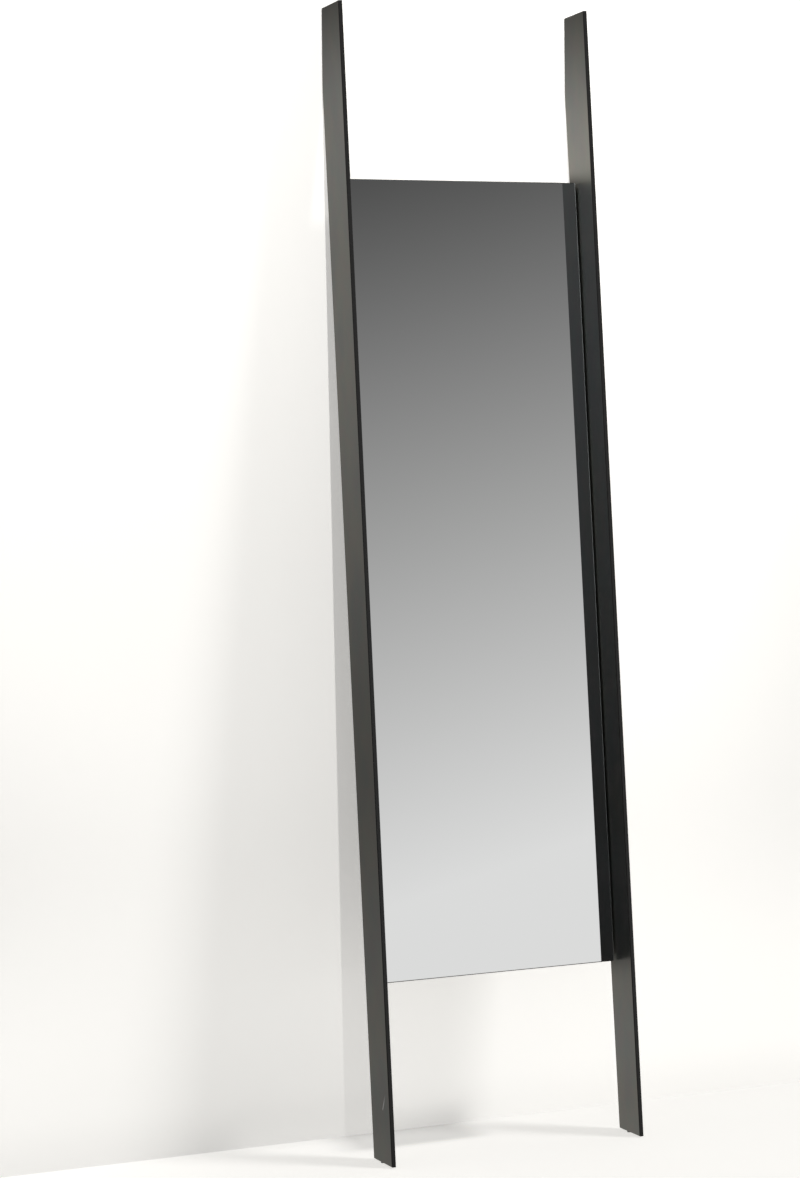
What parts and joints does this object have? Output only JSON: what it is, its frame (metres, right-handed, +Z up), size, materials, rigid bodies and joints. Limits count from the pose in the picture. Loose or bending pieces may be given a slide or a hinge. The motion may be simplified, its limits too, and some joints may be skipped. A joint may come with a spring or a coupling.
{
  "type": "leaning full-length mirror",
  "caption": "Tall frameless mirror held between flat steel uprights that stand on the floor and lean on a wall.",
  "frame": {"origin": "on the floor, under the middle of the mirror's overall width and depth as it leans", "axes": "+X to the right as seen from the room, +Y towards the wall it leans on, +Z up"},
  "size_m": [0.488, 0.2484, 1.9944],
  "materials": {
    "blackened_steel": "satin, blackened",
    "mirror": "silvered float glass",
    "board": "black dyed fibreboard",
    "tape": "closed-cell foam tape",
    "black_screw": "black oxide",
    "glide": "moulded",
    "rubber": "matt, ribbed"
  },
  "bodies": {
    "root": {"left_upright": "blackened_steel", "right_upright": "blackened_steel", "mirror_glass": "mirror", "backing_board": "board", "upright_screws": "black_screw", "board_screws": "black_screw", "left_glide": "glide", "right_glide": "glide", "left_wall_bumper": "rubber", "right_wall_bumper": "rubber", "mirror_tape_1": "tape", "mirror_tape_2": "tape", "mirror_tape_3": "tape", "mirror_tape_4": "tape", "mirror_tape_5": "tape", "left_bottom_cleat": "blackened_steel", "left_middle_cleat": "blackened_steel", "left_top_cleat": "blackened_steel", "right_bottom_cleat": "blackened_steel", "right_middle_cleat": "blackened_steel", "right_top_cleat": "blackened_steel"}
  },
  "joints": []
}
